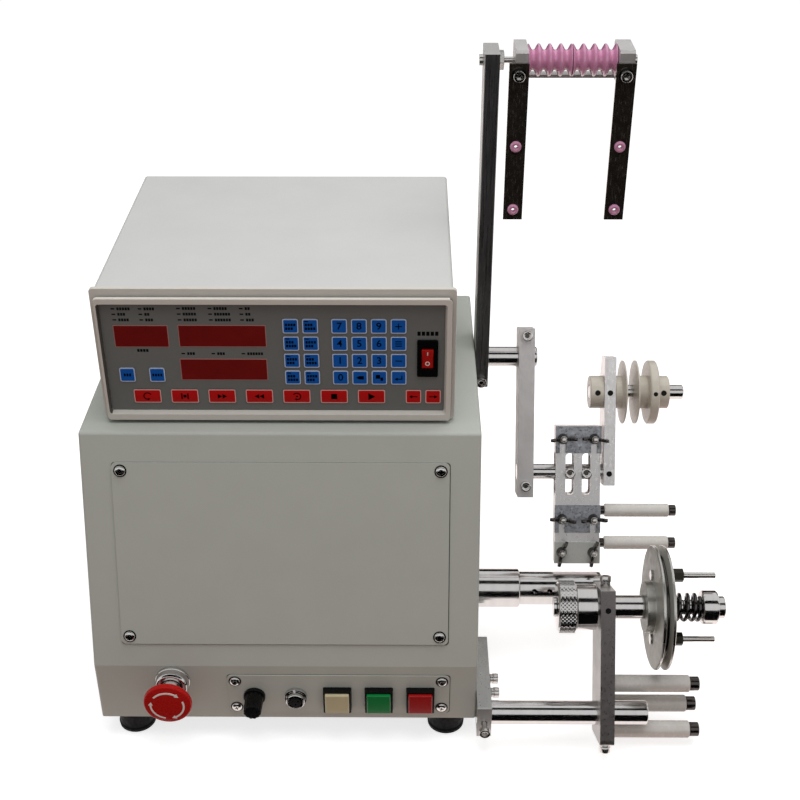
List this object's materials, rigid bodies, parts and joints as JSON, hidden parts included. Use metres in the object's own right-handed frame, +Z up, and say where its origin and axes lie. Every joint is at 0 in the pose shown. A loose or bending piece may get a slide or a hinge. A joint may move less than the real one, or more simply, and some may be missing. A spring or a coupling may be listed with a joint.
{
  "type": "coil winding machine",
  "caption": "Bench machine that winds wire into coils: leaning cabinet with control box, spindle, traversing wire guides, swinging arm and a wire tension stand.",
  "frame": {"origin": "centre of the mandrel bore's mouth, on the end face of the spindle", "axes": "+X out of the bore along the spindle, to the machine's right; +Y to the back; +Z up"},
  "size_m": [0.5276, 0.3372, 0.5425],
  "materials": {
    "cabinet_paint": "fine textured powder coat",
    "box_paint": "fine textured powder coat",
    "bezel_plastic": "moulded",
    "panel_film": "printed film",
    "dark_window": "polished",
    "chromed_steel": "plated",
    "bright_steel": "turned and ground",
    "aluminium": "milled",
    "dark_steel": "oiled",
    "galvanised": "zinc plated",
    "black_chrome": "plated, smoky",
    "black_plastic": "moulded",
    "red_plastic": "moulded",
    "green_plastic": "moulded, lit",
    "cream_plastic": "moulded, lit",
    "scarlet_plastic": "moulded, lit",
    "pink_ceramic": "glazed",
    "white_sleeve": "polished",
    "cream_enamel": "smooth coat",
    "grey_wheel": "hard coat",
    "foot_rubber": "moulded",
    "belt_rubber": "moulded",
    "circuit_board": "lacquered",
    "painted_frame": "primed"
  },
  "bodies": {
    "cabinet": {"body_shell": "cabinet_paint", "chassis": "painted_frame", "front_plates": "cabinet_paint", "cabinet_screws": "chromed_steel", "rubber_feet": "foot_rubber", "fuse_holder": "black_plastic", "round_socket": "chromed_steel", "stop_collar": "bright_steel", "switch_bezels": "black_plastic", "box_case": "box_paint", "box_bezel": "bezel_plastic", "box_panel": "panel_film", "display_windows": "dark_window", "electronics": "circuit_board", "mains_inlet": "black_plastic", "spindle_housing": "bright_steel", "bearings": "bright_steel", "motors": "painted_frame", "drive_belt": "belt_rubber", "lower_bracket": "aluminium", "lower_rod": "bright_steel"},
    "stop_head": {"stop_button": "red_plastic"},
    "reset_switch": {"reset_key": "cream_plastic"},
    "start_switch": {"start_key": "green_plastic"},
    "halt_switch": {"halt_key": "scarlet_plastic"},
    "mains_rocker": {"power_rocker": "red_plastic"},
    "spindle": {"spindle_shaft": "bright_steel"},
    "motor_rotor": {"motor_pulley": "aluminium"},
    "traverse_screw": {"lead_screw": "bright_steel"},
    "traverse": {"traverse_shaft": "bright_steel", "tower_bar": "dark_steel", "link_plate": "aluminium", "guide_rod": "dark_steel", "guide_block": "aluminium", "adjuster_plates": "galvanised", "traverse_fasteners": "chromed_steel", "pulley_arm": "aluminium", "pulley_shaft": "bright_steel", "shaft_collars": "cream_enamel", "swing_axle": "chromed_steel"},
    "upper_guide": {"upper_guide_sleeve": "white_sleeve"},
    "lower_guide": {"lower_guide_sleeve": "white_sleeve"},
    "left_disc": {"left_wire_disc": "cream_enamel"},
    "right_disc": {"right_wire_disc": "cream_enamel"},
    "swing_arm": {"swing_frame": "aluminium", "swing_legs": "black_chrome", "eyelets": "pink_ceramic"},
    "left_swing_roller": {"left_roller": "pink_ceramic"},
    "right_swing_roller": {"right_roller": "pink_ceramic"},
    "stand": {"stand_plate": "aluminium", "stand_fasteners": "chromed_steel", "tension_shaft": "bright_steel", "tension_spring": "bright_steel"},
    "knob": {"tension_knob": "bright_steel"},
    "brake_wheel": {"tension_wheel": "grey_wheel", "wheel_studs": "chromed_steel"},
    "pressure_nut": {"adjusting_nut": "bright_steel"},
    "upper_stand_guide": {"upper_stand_sleeve": "white_sleeve"},
    "middle_stand_guide": {"middle_stand_sleeve": "white_sleeve"},
    "lower_stand_guide": {"lower_stand_sleeve": "white_sleeve"}
  },
  "joints": [
    {"name": "spindle_spin", "type": "hinge", "parent": "cabinet", "child": "spindle", "pos_m": [0, 0, 0], "axis": [1, 0, 0], "continuous": true},
    {"name": "motor_spin", "type": "hinge", "parent": "cabinet", "child": "motor_rotor", "pos_m": [-0.166, 0.095, 0.032], "axis": [1, 0, 0], "continuous": true},
    {"name": "traverse_slide", "type": "slide", "parent": "cabinet", "child": "traverse", "axis": [1, 0, 0], "range_m": [0, 0.08]},
    {"name": "lead_screw_spin", "type": "hinge", "parent": "cabinet", "child": "traverse_screw", "pos_m": [-0.226, 0.097, 0.1456], "axis": [1, 0, 0], "range_deg": [0, 2881]},
    {"name": "swing_arm_tilt", "type": "hinge", "parent": "traverse", "child": "swing_arm", "pos_m": [-0.046, 0.097, 0.454], "axis": [1, 0, 0], "range_deg": [-60, 60]},
    {"name": "left_swing_roller_spin", "type": "hinge", "parent": "traverse", "child": "left_swing_roller", "pos_m": [-0.066, 0.097, 0.454], "axis": [1, 0, 0], "continuous": true},
    {"name": "right_swing_roller_spin", "type": "hinge", "parent": "traverse", "child": "right_swing_roller", "pos_m": [-0.029, 0.097, 0.454], "axis": [1, 0, 0], "continuous": true},
    {"name": "left_disc_spin", "type": "hinge", "parent": "traverse", "child": "left_disc", "pos_m": [0.014, 0.08505, 0.15615], "axis": [1, 0, 0], "continuous": true},
    {"name": "right_disc_spin", "type": "hinge", "parent": "traverse", "child": "right_disc", "pos_m": [0.034, 0.08505, 0.15615], "axis": [1, 0, 0], "continuous": true},
    {"name": "upper_guide_spin", "type": "hinge", "parent": "traverse", "child": "upper_guide", "pos_m": [0.032, 0.03661, 0.06041], "axis": [1, 0, 0], "continuous": true},
    {"name": "lower_guide_spin", "type": "hinge", "parent": "traverse", "child": "lower_guide", "pos_m": [0.032, 0.02336, 0.03383], "axis": [1, 0, 0], "continuous": true},
    {"name": "stand_tilt", "type": "hinge", "parent": "cabinet", "child": "stand", "pos_m": [-0.008, -0.116, -0.039], "axis": [1, 0, 0], "range_deg": [-8, 15]},
    {"name": "brake_wheel_spin", "type": "hinge", "parent": "stand", "child": "brake_wheel", "pos_m": [0.036, -0.07237, 0.03972], "axis": [1, 0, 0], "continuous": true},
    {"name": "knob_turn", "type": "hinge", "parent": "stand", "child": "knob", "pos_m": [-0.036, -0.07237, 0.03972], "axis": [1, 0, 0], "continuous": true},
    {"name": "pressure_nut_turn", "type": "hinge", "parent": "stand", "child": "pressure_nut", "pos_m": [0.079, -0.07237, 0.03972], "axis": [1, 0, 0], "continuous": true},
    {"name": "upper_stand_guide_spin", "type": "hinge", "parent": "stand", "child": "upper_stand_guide", "pos_m": [0.024, -0.09351, -0.02689], "axis": [1, 0, 0], "continuous": true},
    {"name": "middle_stand_guide_spin", "type": "hinge", "parent": "stand", "child": "middle_stand_guide", "pos_m": [0.024, -0.09127, -0.05214], "axis": [1, 0, 0], "continuous": true},
    {"name": "lower_stand_guide_spin", "type": "hinge", "parent": "stand", "child": "lower_stand_guide", "pos_m": [0.024, -0.113, -0.06102], "axis": [1, 0, 0], "continuous": true},
    {"name": "stop_press", "type": "slide", "parent": "cabinet", "child": "stop_head", "axis": [0, 1, 0], "range_m": [0, 0.004]},
    {"name": "reset_press", "type": "slide", "parent": "cabinet", "child": "reset_switch", "axis": [0, 1, 0], "range_m": [0, 0.0022], "stiffness_N_per_m": 300, "springref_m": -0.001},
    {"name": "start_press", "type": "slide", "parent": "cabinet", "child": "start_switch", "axis": [0, 1, 0], "range_m": [0, 0.0022], "stiffness_N_per_m": 300, "springref_m": -0.001},
    {"name": "halt_press", "type": "slide", "parent": "cabinet", "child": "halt_switch", "axis": [0, 1, 0], "range_m": [0, 0.0022], "stiffness_N_per_m": 300, "springref_m": -0.001},
    {"name": "rocker_tilt", "type": "hinge", "parent": "cabinet", "child": "mains_rocker", "pos_m": [-0.15925, -0.033, 0.2597], "axis": [1, 0, 0], "range_deg": [-16, 0]}
  ],
  "couplings": [
    {"joint": "motor_spin", "follows": "spindle_spin", "ratio": 1.5},
    {"joint": "lead_screw_spin", "follows": "traverse_slide", "rad_per_m": 628.32}
  ]
}
